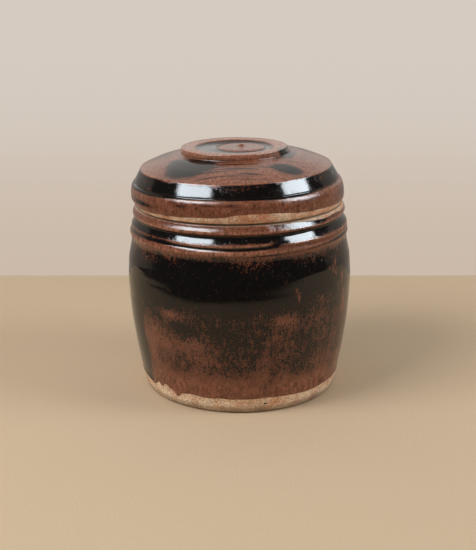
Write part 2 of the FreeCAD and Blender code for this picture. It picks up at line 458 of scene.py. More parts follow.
jarSizes = {
    "start": (0, 0),
    "outline": [   # spacings and points by radius and height in mm, from under the foot round to the floor
        (6.0, (24, 0), (44.9, 0)),   # under the foot
        (0.45, (45.9, 0.35), (46.6, 0.95), (47.3, 3.0), (47.62, 3.9)),   # foot edge
        (0.45, (48.4, 8.8)),   # belly
        # upper belly
        (1.15, (50.88, 22), (53.16, 38.5), (54.1, 55), (53.9, 60), (53.5, 66), (52.75, 70), (52.1, 73.4)),
        # neck and ledge
        (0.33, (51.9, 75.4), (52.15, 77.2), (52.6, 78.7), (52.6, 79.5), (52.3, 80.5), (52.1, 81.5),
         (52.05, 82.5), (51.7, 83.2), (50.0, 86.2), (50.15, 87.0), (51.0, 88.2), (50.85, 89.6),
         (50.4, 90.9), (49.9, 91.7), (48.9, 92.2)),
        (1.2, (44.9, 92.2)),   # rim
        (0.5, (44.25, 91.95), (44.0, 91.3)),   # mouth
        # inside
        (2.6, (44.0, 83.7), (44.6, 79.0), (46.6, 70.5), (48.1, 62), (48.5, 55), (47.6, 38.5), (45.3, 22),
         (42.9, 14), (40.4, 9.0), (36.0, 7.0)),
        (6.0, (16, 7.0), (0, 7.0)),   # floor
    ],
    "turning": {"stepsRound": 480, "wobble": 0.5, "throwingRings": 0.14, "ringSpacing": 7.0, "seed": 3.0},
    "leans": [   # the rim tilts and moves to the left, and its sides sink
        {"base": 0.0, "top": 92.0, "tiltRight": 0.018, "shift": -0.85},
        {"base": 66.0, "top": 84.0, "sag": 0.7}],
    "outerReach": 49.0,   # only the wall further out than this is tooled
}
toolGroove = {   # along the turn in degrees from the start: height, depth and half width, in mm
    "start": 4.0, "end": 500.0,
    "level": [(0, 77.4), (4, 77.9), (16, 78.2), (27, 78.5), (41, 78.9), (59, 79.3), (120, 80.2),
              (200, 81.1), (294, 82.0), (312, 82.2), (326, 81.8), (336, 81.4), (356, 81.3), (368, 81.7),
              (378, 83.0), (390, 84.6), (430, 85.2), (500, 85.3)],
    "depth": [(0, 0.0), (8, 0.3), (16, 0.24), (42, 0.26), (60, 0.5), (120, 0.7), (250, 0.7), (280, 0.42),
              (338, 0.42), (362, 0.55), (378, 0.3), (430, 0.25), (480, 0.15), (500, 0.0)],
    "width": [(0, 0.7), (20, 1.0), (60, 1.4), (120, 1.6), (300, 1.7), (340, 1.3), (360, 1.3), (380, 2.6),
              (392, 3.3), (430, 3.3), (500, 1.8)],
}
rimFacet = {   # the band under the rim is pressed in towards its top, most on the right
    "start": -180.0, "end": 360.0,
    "level": [(0, 90.7), (190, 90.7), (360, 90.7)],
    "depth": [(0, 0.2), (130, 0.25), (142, 0.5), (166, 0.5), (175, 0.2), (192, 0.2), (200, 0.8),
              (238, 0.85), (262, 0.3), (360, 0.2)],
    "width": [(0, 2.4), (180, 2.4), (200, 2.9), (240, 2.9), (262, 2.4), (360, 2.4)],
}


def shapeJar(tree, form):
    outside = calc(readMark(tree, "reach"), ">", jarSizes["outerReach"])
    cut = calc(toolPass(tree, "toolGroove", toolGroove, laps=2), "*", outside)
    press = calc(toolPass(tree, "rimFacet", rimFacet), "*", outside)
    return keepMark(form, "cut", cut), calc(cut, "+", press)


# how thick the glaze is: below 0 it is all rust, about 0.5 it is mottled, over 1 it is all black.
# heights and reaches are in mm, azimuths in degrees, and pairs say where a change starts and ends.
# a cloud is its cells per metre, seed and stretch, after its share where there is one
jarGlazing = {
    "byHeight": [(0, -0.85), (12, -0.8), (16, -0.45), (20, -0.05), (24, 0.2), (30, 0.38), (36, 0.45),
                 (44, 0.55), (49, 0.75), (53, 1.0), (58, 1.3), (62, 1.5), (70, 1.5), (73, 1.15),
                 (75.5, 0.45), (77.5, -0.2), (80, -0.3), (82.2, 0.0), (83.5, 0.35), (84.0, 1.2),
                 (84.6, 1.5), (86.0, 1.4), (86.6, 0.5), (87.4, -0.25), (90.5, -0.35), (93, -0.1)],
    "patches": [   # azimuth, height, half width in degrees, half height, how much thicker
        (-36, 48.5, 7, 2.6, -0.95), (-30, 42, 9, 3, 0.5), (-50, 35, 12, 8, -0.62), (-38, 33, 10, 7, -0.38),
        (-24, 33, 7, 8, -0.4), (-52, 24, 5, 13, -0.5), (-47, 27, 4, 6, 0.4), (-36, 24, 5, 5, 0.35),
        (-27, 25, 3, 5, 0.3), (-66, 16, 6, 18, 2.7), (-76, 42, 10, 14, 0.6), (-12, 41, 9, 3, 0.2),
        (-7, 22, 9, 4, 0.3), (2, 33, 9, 9, 0.08), (11, 25, 5, 5, -0.2), (22, 47, 6, 2.8, -0.85),
        (20, 37, 5, 8, -0.3), (17, 18.5, 2.2, 5, 0.7), (36, 33, 9, 9, 0.25), (33, 20, 4, 4, 0.45),
        (40, 19, 3, 3, 0.5), (60, 16.5, 3, 3.5, 0.8), (46, 55, 9, 3, -0.3), (55, 66, 2.2, 3, -0.9),
        (30, 59, 1.4, 2.5, -0.7), (62, 60, 4, 6, -0.3), (-30, 56, 4, 3, -0.45), (0, 48, 12, 2, -0.15),
        (40, 46, 8, 4, -0.2), (5, 71, 4.5, 3.6, -0.9), (13, 73, 4, 2.5, -0.5), (-9, 77, 6, 2.2, 0.55),
        (-30, 74.5, 3, 2.5, 0.4), (-20, 75.5, 5, 2, 0.35), (22, 75, 4, 2, 0.35), (-52, 71.5, 9, 2.5, -0.6),
        (-72, 70, 9, 3, -0.6), (62, 70, 13, 3, -0.6), (40, 73, 8, 2, -0.35), (47, 89.3, 6, 0.9, 1.5),
        (64, 88.6, 9, 1.2, 0.8), (-50, 87.6, 12, 0.8, 0.9), (32, 87.8, 9, 0.7, 0.6),
        (33, 89.9, 8, 1.7, 1.5), (-24, 80.1, 14, 0.75, -2.6), (57.3, 68.3, 0.8, 1.8, -1.1),
        (57.2, 63.3, 0.8, 1.6, -1.3), (51.7, 66.8, 0.7, 1.2, -1.1), (29, 60.6, 0.7, 1.5, -1.05),
        (30.5, 56.3, 0.8, 1.5, -1.25), (44.7, 54.5, 0.8, 1.8, -0.75), (51, 55, 0.8, 1.6, -0.9),
        (63.5, 60.4, 1.4, 3.0, -1.1), (65.7, 47.5, 2.5, 6, -1.0), (58.8, 56.9, 1.1, 2.6, -1.1),
        (24, 66, 0.7, 1, -1.3), (-38, 60, 0.7, 1, -1.2)],
    "slowCloud": (34, 2, 0.8), "frontDrift": 0.25, "backDrift": 1.3,
    "backFrom": (78, 100),   # how far round the made-up back begins, and where it is in full
    "bellyFrom": (16, 26), "bellyTo": (60, 74), "neckFrom": (76, 80),
    "cutGain": 3.3, "hollowGain": 7.0, "hollowMost": 0.08,   # the glaze pools in grooves and hollows
    "outside": (45.9, 92.0, 49.6),   # past this reach below this height, or past this reach
    "footLine": 7.65, "footClouds": [(0.35, 90, 5, 0.0), (0.2, 260, 6, 0.0)],
    "footSoft": 0.35,
    "footDrips": [   # drips and gaps of the glaze at the foot: azimuth, half width, how far down
        (-38, 2.2, 2.6), (-47, 2.6, -1.9), (-54, 2.0, -1.6), (-51, 1.6, 0.9), (-60, 4, 1.0), (-26, 6, -0.5),
        (14, 7, -0.3), (40, 8, 0.3), (85, 5, -0.8), (102, 3, 1.6), (139, 4, -0.9), (168, 3, 1.8),
        (-166, 6, -0.7), (-131, 3, 1.5), (-108, 6, -0.8), (-88, 3, 0.9)],
    "dripEdge": 1.7,
    "rimLine": [   # the glaze stops just under the seat, lower on the right
        (-180, 91.2), (-90, 91.5), (-30, 91.7), (10, 91.5), (30, 91.1), (50, 90.4), (75, 90.2), (110, 90.9),
        (180, 91.2)],
    "rimClouds": [(0.3, 120, 8, 0.0)], "rimSoft": 0.25,
    "ironSpots": [   # azimuth, height, half sizes
        (14.0, 5.1, 1.2, 0.42), (-21.0, 6.2, 0.5, 0.22), (31.0, 4.9, 0.5, 0.2)],
    "insideFrom": 5, "mouthLine": (86.0, 86.8), "inside": (0.9, 0.6),   # plain, with a slow drift
    "worn": (0.04, 0.1, 0.4),   # how sharp an edge is where wear begins and is full, and how much
    # painted shade on the foot's lower bevel: where it ends, how dark, and how ragged and uneven
    "footSmoke": (1.6, 4.6), "footSmokeShare": 0.7, "footSmokeClouds": [(0.7, 300, 13), (0.4, 90, 14)],
    "smokeEven": 0.8, "smokeClouds": [(0.5, 90, 12, 0.3)],
    "seatSmoke": (91.45, 91.9), "seatReach": 48.0,   # painted shade in the joint under the lid
    "glazeCoat": 0.28,
    "coatEdge": (0.9, 0.8, 0.8, 20),   # the fat edge of the coat: height, half width, gain, highest place
}


def paintJar(mesh):
    azimuth, height, reach, hollow, cut = readMarks(mesh, "azimuth", "height", "reach", "hollow", "cut")
    g = SimpleNamespace(**jarGlazing)
    wallReach, rimTop, rimReach = g.outside
    outside = (reach > wallReach) & (height < rimTop) | (reach > rimReach)
    slow = cloud(mesh, *g.slowCloud)
    back = step(np.abs(azimuth), *g.backFrom)
    belly = step(height, *g.bellyFrom) * (1 - step(height, *g.bellyTo))
    thick = drawn(height, g.byHeight)
    thick += back * belly * g.backDrift * slow + g.frontDrift * slow * belly
    for centre, level, wide, tall, more in g.patches:
        thick += more * dab(ovalGap(turnGap(azimuth, centre), height - level, wide, tall))
    neck = step(height, *g.neckFrom)
    pooled = g.hollowGain * np.clip(hollow, -g.hollowMost, g.hollowMost)
    thick += (pooled + g.cutGain * cut) * neck
    line = g.footLine + clouds(mesh, g.footClouds)
    for centre, wide, down in g.footDrips:
        line -= down * np.exp(-np.abs(turnGap(azimuth, centre) / wide) ** g.dripEdge)
    cover = step(height - line, -g.footSoft, g.footSoft)
    # the rim is wiped bare where the lid sits
    rim = drawn(azimuth, g.rimLine) + clouds(mesh, g.rimClouds)
    wiped = step(height, rim - g.rimSoft, rim + g.rimSoft)
    cover = np.where(outside, cover * (1 - wiped), 0.0)
    # an iron speck or two has melted out of the clay
    for centre, level, wide, tall in g.ironSpots:
        spot = outside & (ovalGap(turnGap(azimuth, centre), height - level, wide, tall) < 1.0)
        cover = np.where(spot, 1.0, cover)
        thick = np.where(spot, thickRange[1], thick)
    inside = ~outside & (height > g.insideFrom)
    cover = np.where(inside, 1 - step(height, *g.mouthLine), cover)
    even, drift = g.inside
    thick = np.where(inside, even + drift * slow, thick)
    writeMark(mesh, "glazeCover", cover)
    writeMark(mesh, "glazeThick", np.clip(thick, *thickRange))
    blunt, sharp, share = g.worn
    writeMark(mesh, "glazeWorn", step(-hollow, blunt, sharp) * share * neck)
    # painted shade on the foot's lower bevel, ragged and uneven, and in the joint under the lid
    ragged = height + clouds(mesh, g.footSmokeClouds)
    drift = g.smokeEven + clouds(mesh, g.smokeClouds)
    foot = g.footSmokeShare * (1 - step(ragged, *g.footSmoke)) * drift
    joint = step(height, *g.seatSmoke) * (reach > g.seatReach)
    writeMark(mesh, "claySmoke", np.clip(foot + joint, 0, 1))
    # the coat of glaze stands proud of the clay, with a slightly fatter edge
    edge, wide, gain, limit = g.coatEdge
    fat = cover * (1 + gain * np.exp(-((height - line - edge) / wide) ** 2) * outside * (height < limit))
    raiseCoat(mesh, (fat - 1.0) * g.glazeCoat * outside)


# the lid, with its knob

lidSizes = {
    "start": (0, 109.4),
    "outline": [   # from under the crown round to the knob's point
        # hollow under the crown
        (2.4, (14, 109.0), (26, 107.2), (34, 104.0), (38.2, 100.2), (39.6, 96.5), (40.0, 92.0),
         (39.6, 86.2), (40.3, 85.2)),
        (1.0, (42.3, 85.2)),   # flange
        (1.0, (43.1, 86.2), (43.1, 92.2)),   # flange side
        (1.3, (48.9, 92.2)),   # seat
        # band
        (0.33, (49.8, 92.42), (50.45, 93.0), (50.9, 94.6), (51.05, 96.8), (50.95, 98.8), (50.7, 100.3),
         (50.35, 101.4), (49.75, 102.4), (49.0, 103.05), (48.7, 103.45)),
        (1.0, (48.75, 103.45)),
        (0.45, (45.7, 108.8)),   # bevel
        (0.2, (45.4, 109.12), (45.0, 109.32)),   # shoulder
        (0.6, (38.0, 112.25), (31.0, 114.2), (25.2, 115.3), (24.65, 115.5)),   # crown
        (0.25, (24.7, 115.75), (25.15, 116.7), (25.3, 117.35), (25.25, 117.75), (24.9, 117.98)),   # knob side
        # knob rim
        (0.25, (23.5, 118.0), (23.0, 117.86), (22.5, 117.98), (19.6, 117.94), (18.8, 117.75), (18.2, 117.4)),
        (0.45, (17.2, 116.95), (15.0, 116.82), (12.4, 116.95), (11.2, 117.3)),   # dish
        (0.6, (10.4, 117.62), (7.0, 117.82), (3.4, 117.92), (2.1, 118.1)),   # mound
        (0.3, (1.3, 118.6), (0.5, 118.98), (0, 119.0)),   # point
    ],
    "turning": {"stepsRound": 480, "wobble": 0.35, "throwingRings": 0.1, "ringSpacing": 5.0, "seed": 8.0},
    "leans": [   # the lid follows the jar's rim, its shoulder rises to the right, and the knob tips back
        {"base": 0.0, "top": 1.0, "tiltRight": 0.018, "shift": -1.4, "sag": 0.7},
        {"base": 97.0, "top": 109.2, "tiltRight": 0.009, "tiltFront": 0.013, "shift": -0.75, "sag": -0.7},
        {"base": 114.9, "top": 116.9, "tiltRight": -0.012, "tiltFront": 0.014, "shift": -0.7}],
    "outerReach": (43.2, 48.9),   # the wall is pressed in past the second, and not at all before the first
}
bandFacet = {   # the lid's lower edge is pressed in, most on the left
    "start": -180.0, "end": 360.0,
    "level": [(0, 93.2), (180, 93.2), (360, 93.2)],
    "depth": [(0, 0.1), (55, 0.8), (80, 1.8), (100, 1.5), (125, 0.4), (150, 0.1), (360, 0.1)],
    "width": [(0, 3.0), (180, 3.0), (360, 3.0)],
}


def shapeLid(tree, form):
    outside = ease(readMark(tree, "reach"), 0.0, 1.0, *lidSizes["outerReach"])
    return form, calc(toolPass(tree, "bandFacet", bandFacet), "*", outside)


# the same ways of measuring as on the jar
lidGlazing = {
    # on the side
    "byHeight": [(90, -0.2), (97, -0.25), (100, -0.35), (102.4, -0.15), (102.9, 0.3), (103.4, 1.3),
                 (104.0, 1.6), (108.4, 1.4), (108.9, 0.6), (109.3, -0.3)],
    # on the flat top
    "byReach": [(0, -0.5), (1.6, -0.45), (3.2, -0.3), (10.0, -0.3), (11.3, 0.2), (12.8, 1.2), (16.4, 1.3),
                (17.8, 0.3), (20, -0.4), (24.4, -0.35), (25.5, -0.1), (28, -0.05), (34, -0.05), (40, -0.2),
                (44, -0.35)],
    "blackEdge": [   # the lower edge of the bevel's black
        (-180, 102.8), (-110, 102.2), (-78, 101.8), (-52, 102.0), (-37, 102.5), (-20, 103.2), (2, 103.0),
        (23, 102.5), (35, 102.5), (47, 103.3), (63, 103.6), (80, 104.0), (120, 103.0), (180, 102.8)],
    "evenEdge": 103.2, "bevel": (104.5, 109.2),
    "patches": [   # places on the top: x and y in mm, half sizes, how much thicker
        (-21, -26, 10, 8.5, 1.8), (-27, -18, 4.5, 5, 0.9), (-36, 4, 6, 9, 0.5), (-34, 18, 6, 8, 0.7),
        (23.5, -29.5, 6.6, 4, 1.7), (18.5, -17.5, 2, 2, 0.5), (22.8, -11.5, 3, 5, 1.3),
        (25.8, -5, 2, 4, 1.0), (33, 14, 9, 8, 0.8), (8, 36, 14, 6, 0.9), (-18, 36, 8, 5, 0.9),
        (0, -33, 10, 0.55, 0.8), (-9, -35, 8, 0.55, 0.7), (6, -37.7, 7, 0.6, 0.8), (-3, -39.3, 9, 0.5, 0.7),
        (-14, -39.3, 6, 0.5, 0.7), (4, -41.8, 9, 0.5, 0.6), (12, -30.6, 7, 0.5, 0.6),
        (-2, -28.2, 12, 0.6, 0.9), (27, -20, 5, 0.7, 0.6), (31, -13, 3, 0.8, 0.5), (-8, -30.4, 5, 0.5, 0.7)],
    "patchEdge": 1.8, "patchFrom": 20, "patchTo": (115.45, 12),   # up to the knob, and onto it at the right
    "bandPatches": [   # places on the side: azimuth, height, half sizes, how much thicker
        (-62, 97.6, 11, 1.1, 1.7), (-30, 99.8, 4, 0.9, 1.0), (-16, 100.8, 5, 0.7, 0.9),
        (-3, 100.9, 6, 0.7, 0.9), (42, 100.3, 8, 1.0, 0.5), (10, 99.5, 10, 0.6, 0.5),
        (-2, 106.6, 9, 1.8, -0.85), (6, 107.6, 5, 0.9, -0.4), (14.5, 107.8, 3, 0.8, -0.6),
        (-12, 108.2, 3, 0.7, -1.1), (-42, 108.4, 5, 0.5, -1.0), (-24, 108.5, 6, 0.4, -1.2),
        (26, 108.3, 4, 0.5, -1.0), (-56, 104.2, 3, 0.8, -1.0), (33, 104.1, 3, 0.5, -1.0),
        (-66, 106.5, 7, 2.2, -0.9), (58, 107.2, 12, 1.2, -0.9), (80, 99, 12, 1.5, 1.0),
        (132, 100, 16, 1.4, 1.0), (-150, 98.8, 14, 1.6, 1.0), (-110, 100, 9, 1.2, 1.0)],
    "side": (45.2, 92.0), "under": (109.45, 44.0, 109.0),   # reach and height; height, then the shoulder's
    "slowCloud": (60, 4), "drift": 0.2,
    "hollowGain": 6.0, "hollowMost": 0.1, "hollowFrom": (8.0, 10.0),
    "knobFoot": (20.0, 27.5), "knobPool": (-10.0, 17.0, 0.15),   # azimuth, half width, the share all round
    "bandLine": [   # the lower edge of the glaze
        (-180, 95.2), (-120, 94.6), (-80, 93.6), (-67, 93.6), (-52, 94.4), (-37, 94.8), (-19, 95.2),
        (-9, 95.6), (0, 96.8), (6, 97.2), (12, 97.2), (22, 96.8), (33, 95.7), (47, 95.3), (68, 94.5),
        (90, 94.1), (130, 95.2), (180, 95.2)],
    "bandClouds": [(0.3, 150, 9, 0.0), (0.15, 420, 10, 0.0)], "bandSoft": 0.3,
    "glazedUnder": (39.3, 95.0, 96.0), "inside": (0.9, 0.6),
    "wornKnob": 0.42, "wornKnobReach": (18.0, 19.5, 25.5, 26.5), "wornTop": 0.08, "wornTopReach": 25,
    "wornEdge": (0.03, 0.09, 0.35, 44),
    # painted shade in the joint under the lid's seat
    "seatSmoke": (92.35, 92.8), "seatReach": 48.0,
    "glazeCoat": 0.15,
}
knobShape = {
    "flares": [(-80, 46, 0.9), (95, 40, 1.2)],   # where the foot spreads out: azimuth, half width, how far
    "foot": 0.35,   # how far the foot is filled all round
    "moundShift": 3.2,   # the low mound sits right of the middle
    "base": 115.5, "footTop": (115.6, 117.6), "sideReach": 23.0,
    "crownReach": (24.2, 24.65, 36.0), "crownBase": 109.0,
    "moundReach": (11.0, 17.0), "moundBase": 116.0,
}


def paintLid(mesh):
    azimuth, height, reach, hollow = readMarks(mesh, "azimuth", "height", "reach", "hollow")
    g = SimpleNamespace(**lidGlazing)
    east, north = reach * np.sin(np.radians(azimuth)), -reach * np.cos(np.radians(azimuth))
    sideReach, sideBase = g.side
    side = (reach > sideReach) & (height > sideBase)
    ceiling, shoulderReach, shoulderBase = g.under
    under = ~side & (height < ceiling) & ~((reach > shoulderReach) & (height > shoulderBase))
    top = ~side & ~under
    slow = cloud(mesh, *g.slowCloud)
    # the black's lower edge wanders, its upper edge keeps to the top of the bevel
    climbed = height - drawn(azimuth, g.blackEdge) + g.evenEdge
    low, high = g.bevel
    eased = height + (climbed - height) * (high - height).clip(0) / (high - low)
    climbed = np.where(height > low, eased, climbed)
    thick = np.where(side, drawn(climbed, g.byHeight), drawn(reach, g.byReach))
    crownTop, knobEast = g.patchTo
    onTop = top * (reach > g.patchFrom) * ((height < crownTop) | (east > knobEast))
    for x, y, wide, deep, more in g.patches:
        thick += more * dab(ovalGap(east - x, north - y, wide, deep), g.patchEdge) * onTop
    for centre, level, wide, tall, more in g.bandPatches:
        thick += more * dab(ovalGap(turnGap(azimuth, centre), height - level, wide, tall)) * side
    # the glaze hardly pools round the knob, but for a short line in front
    footFrom, footTo = g.knobFoot
    centre, wide, least = g.knobPool
    pool = least + (1 - least) * np.exp(-(((azimuth - centre) / wide) ** 2))
    pool = np.where((reach > footFrom) & (reach < footTo) & top, pool, step(reach, *g.hollowFrom))
    pooled = g.hollowGain * np.clip(hollow, -g.hollowMost, g.hollowMost)
    thick += pooled * pool + g.drift * slow
    line = drawn(azimuth, g.bandLine) + clouds(mesh, g.bandClouds)
    cover = np.where(side, step(height - line, -g.bandSoft, g.bandSoft), 1.0)
    # the seat and the flange are wiped bare, the hollow under the crown is glazed
    bareReach, low, high = g.glazedUnder
    cover = np.where(under, (reach < bareReach) * step(height, low, high), cover)
    even, drift = g.inside
    thick = np.where(under, even + drift * slow, thick)
    writeMark(mesh, "glazeCover", cover)
    writeMark(mesh, "glazeThick", np.clip(thick, *thickRange))
    dishEdge, rimIn, rimOut, footOut = g.wornKnobReach
    knob = (height > knobShape["base"]) * (1 - step(reach, rimOut, footOut)) * step(reach, dishEdge, rimIn)
    blunt, sharp, share, edgeReach = g.wornEdge
    worn = g.wornKnob * knob + g.wornTop * top * (reach > g.wornTopReach)
    worn += step(-hollow, blunt, sharp) * share * (reach > edgeReach)
    writeMark(mesh, "glazeWorn", np.clip(worn, 0, 1))
    # painted shade in the joint where the lid sits on the rim
    writeMark(mesh, "claySmoke", (1 - step(height, *g.seatSmoke)) * (reach > g.seatReach))
    raiseCoat(mesh, (cover - 1.0) * g.glazeCoat * side)


def pressKnob(mesh):
    # the hand's touches that a turned outline doesn't have
    azimuth, height, reach = readMarks(mesh, "azimuth", "height", "reach")
    shape = SimpleNamespace(**knobShape)
    spread = np.full(len(azimuth), shape.foot)
    for centre, wide, out in shape.flares:
        spread += out * np.exp(-(turnGap(azimuth, centre) / wide) ** 2)
    nearest, footReach, farthest = shape.crownReach
    knob = (height > shape.base) & (reach > shape.sideReach)
    crown = (height > shape.crownBase) & (height <= shape.base) & (reach > nearest)
    share = knob * (1 - step(height, *shape.footTop)) + crown * (1 - step(reach, footReach, farthest))
    out = spread * share.clip(0, 1)
    across = shape.moundShift * (1 - step(reach, *shape.moundReach)) * (height > shape.moundBase)
    angle = np.radians(azimuth)
    push = np.stack([out * np.sin(angle) + across, -out * np.cos(angle), np.zeros(len(out))], axis=1)
    moveBy(mesh, push * mm)


# glaze and clay; a grain is its cells per metre, detail, roughness and share

glazeMix = {
    "grains": {"coarse": (150.0, 2.0, 0.6, 0.8), "mid": (520.0, 4.0, 0.7, 2.8),
               "fine": (1300.0, 2.0, 0.6, 2.6), "streaks": (760.0, 2.0, 0.6, 1.0)},
    "hairStretch": (1.0, 1.0, 0.16),   # the streaks are drawn out down the wall
    "blackFrom": (0.46, 0.58),   # the depth at which rust turns black
    "deepRustFrom": (-0.3, 0.55),
    "dust": 0.25, "dustFrom": (0.13, 0.33),
    "wornMottle": 1.5, "spotMottle": 1.5, "spotFine": 1.6,
    "satin": 0.16, "satinGrain": 0.5, "glass": 0.07,
    "crystals": 1.4, "crystalMid": 0.6, "dimples": 0.5,
}
clayMix = {
    "sand": (1500.0, 3.0, 0.7), "drift": (120.0, 3.0, 0.6), "driftGain": 3.0,
    "dots": (0.52, 1.16, 0.36, 0.62),   # how dark and how pale the sand is, for noise from here to here
    "rough": (0.78, 0.92),
}
finish = {"coverFrom": (0.42, 0.58), "glazeBump": 0.5, "bump": 0.5, "bumpDepth": 0.0003, "ior": 1.46}
coatOutputs = {"Colour": "Color", "Roughness": "Float", "Height": "Float"}


def makeTenmoku():
    # an iron glaze that is rusty where it is thin and black where it is thick
    tree, given, made = newGroup("tenmokuGlaze", "Shader", {
        "Thickness": 0.5, "Rust": paint(121, 73, 52), "Deep Rust": paint(62, 31, 19),
        "Black": paint(12, 9, 7), "Thin Rust": paint(176, 122, 96), "Speckle": 1.0, "Speckle Size": 1.0,
        "Streak": 0.45, "Worn": 0.0}, coatOutputs)
    mix = SimpleNamespace(**glazeMix)
    place = put(tree, "ShaderNodeTexCoord").outputs["Object"]
    long = calcVector("MULTIPLY", place, combine(1.0, 1.0, given["Streak"]))
    hairs = calcVector("MULTIPLY", place, mix.hairStretch)
    grains = {}
    mottle = 0.0
    for name, source in (("coarse", place), ("mid", long), ("fine", place), ("streaks", hairs)):
        scale, detail, roughness, share = mix.grains[name]
        grains[name] = calc(grain(source, scale, given["Speckle Size"], detail, roughness), "-", 0.5)
        mottle = addScaled(grains[name], share, mottle)
    mid, fine, streaks = grains["mid"], grains["fine"], grains["streaks"]
    depth = addScaled(mottle, given["Speckle"], given["Thickness"])
    # even the black is dusted with faint brown specks
    dust = ease(calc(fine, "+", mid), 0.0, mix.dust, *mix.dustFrom)
    black = calc(ease(depth, 0.0, 1.0, *mix.blackFrom), "*", calc(1.0, "-", dust))
    rust = blendIn(ease(depth, 0.0, 1.0, *mix.deepRustFrom), given["Rust"], given["Deep Rust"])
    # on sharp edges the glaze has run thin and is paler
    rust = blendIn(addScaled(mid, mix.wornMottle, given["Worn"], clamp=True), rust, given["Thin Rust"])
    spots = calc(calc(fine, "*", mix.spotFine), "+", calc(mid, "+", streaks))
    spotted = calcVector("SCALE", rust, addScaled(spots, mix.spotMottle, 1.0))
    join(blendIn(black, spotted, given["Black"]), made["Colour"])
    # the rusty parts are satin with fine crystals, the black is smooth glass
    satin = calc(calc(1.0, "-", black), "*", calc(fine, "*", mix.satinGrain))
    join(calc(satin, "+", ease(black, mix.satin, mix.glass), clamp=True), made["Roughness"])
    crystals = calc(fine, "+", calc(mid, "*", mix.crystalMid))
    crystals = calc(crystals, "*", addScaled(black, -mix.crystals, mix.crystals))
    join(addScaled(mid, mix.dimples, crystals), made["Height"])
    return tree


def makeClay():
    # bare stoneware: sandy, and toasted in slow patches, with painted shade mixed in where the piece marks it
    tree, given, made = newGroup("bareClay", "Shader", {
        "Light": paint(238, 210, 176), "Toasted": paint(206, 140, 98), "Smoked": paint(124, 103, 79),
        "Toast": 0.4, "Grain Size": 1.0, "Smoke": 0.0}, coatOutputs)
    place = put(tree, "ShaderNodeTexCoord").outputs["Object"]
    sand, drift = (grain(place, scale, given["Grain Size"], detail, roughness)
                   for scale, detail, roughness in (clayMix["sand"], clayMix["drift"]))
    share = addScaled(calc(drift, "-", 0.5), clayMix["driftGain"], given["Toast"], clamp=True)
    base = blendIn(share, given["Light"], given["Toasted"])
    sandy = calcVector("SCALE", base, ease(sand, *clayMix["dots"]))
    join(blendIn(given["Smoke"], sandy, given["Smoked"]), made["Colour"])
    join(ease(drift, *clayMix["rough"]), made["Roughness"])
    join(sand, made["Height"])
    return tree


tenmokuGlaze = makeTenmoku()
bareClay = makeClay()


def newMaterial(name):
    material = bpy.data.materials.new(name)
    material.use_nodes = True
    return material, material.node_tree, material.node_tree.nodes["Principled BSDF"].inputs


def makeFinish(name, glaze, clay):
    # glazed where the glazeCover mark is 1, bare clay where it is 0
    material, tree, shader = newMaterial(name)
    thick, covered, worn, smoke = (
        put(tree, "ShaderNodeAttribute", attribute_name=mark, attribute_type="GEOMETRY").outputs["Fac"]
        for mark in ("glazeThick", "glazeCover", "glazeWorn", "claySmoke"))
    coat = useGroup(tree, tenmokuGlaze, thickness=thick, worn=worn, **glaze)
    # the bare clay takes its painted shade from the mark
    body = useGroup(tree, bareClay, smoke=smoke, **clay)
    cover = ease(covered, 0.0, 1.0, *finish["coverFrom"])
    join(blendIn(cover, body["Colour"], coat["Colour"]), shader["Base Color"])
    join(blendIn(cover, body["Roughness"], coat["Roughness"], "FLOAT"), shader["Roughness"])
    raised = blendIn(cover, body["Height"], calc(coat["Height"], "*", finish["glazeBump"]), "FLOAT")
    bump = put(tree, "ShaderNodeBump", {
        "Strength": finish["bump"], "Distance": finish["bumpDepth"], "Height": raised})
    join(bump.outputs[0], shader["Normal"])
    shader["IOR"].default_value = finish["ior"]
    return material


jarGlaze = makeFinish("jarGlaze", {"speckle": 1.3, "speckleSize": 1.0, "streak": 0.6},
                      {"toast": 0.35, "grainSize": 1.1})
lidGlaze = makeFinish("lidGlaze", {"speckle": 0.8, "speckleSize": 0.9, "streak": 0.9},
                      {"toast": 0.6, "grainSize": 0.9})
print("glazes mixed")

line = outline("jarLine", jarSizes["start"], jarSizes["outline"])
jar = turnPiece("glazedJar", line, makeForm("jarForm", jarSizes, shapeJar), jarGlaze)
paintJar(jar.data)
print("jar thrown,", len(jar.data.polygons), "faces")

line = outline("lidLine", lidSizes["start"], lidSizes["outline"])
lid = turnPiece("glazedLid", line, makeForm("lidForm", lidSizes, shapeLid), lidGlaze)
paintLid(lid.data)
pressKnob(lid.data)
print("lid thrown,", len(lid.data.polygons), "faces")

for piece, node, slot in ((jar, "jar", "jar_glaze"), (lid, "lid", "lid_glaze")):
    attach(piece, "root")
    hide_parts(node)


# the stage: a paper-covered table, a pale backdrop and soft lamps

stageSizes = {   # metres; the near left corner of the table is cut off
    "front": -0.33, "cutBack": -0.1, "cutIn": -0.02, "left": -0.28, "back": 0.172, "right": 0.9,
    "wallStart": 0.55, "wallAt": 0.8, "wallTop": 1.6, "wallHalf": 1.8, "wallStep": 10, "wallDrop": 0.0005,
}
paper = {
    "colours": (paint(190, 167, 137), paint(204, 181, 151)), "fleckScale": 900.0, "fleckDetail": 3.0,
    # shade is painted shade along the table's near edge and cut corner, seen only in the glaze
    "shade": paint(44, 38, 30), "shadeFrom": (-0.33, -0.175), "slant": (0.66, 0.75),
    "slantFrom": (-0.26, -0.195), "rough": 0.9, "shine": 0.2,
}
wallPaint = {   # from the table's edge up to the top; duller in the glaze than to the eye
    "low": paint(203, 186, 169), "high": paint(213, 203, 193), "climb": (0.15, 0.85), "inGlaze": 0.62,
}


def stagePiece(name, points, faces, material):
    mesh = bpy.data.meshes.new(name)
    mesh.from_pydata(points, [], faces)
    mesh.materials.append(material)
    newPiece(name, mesh)


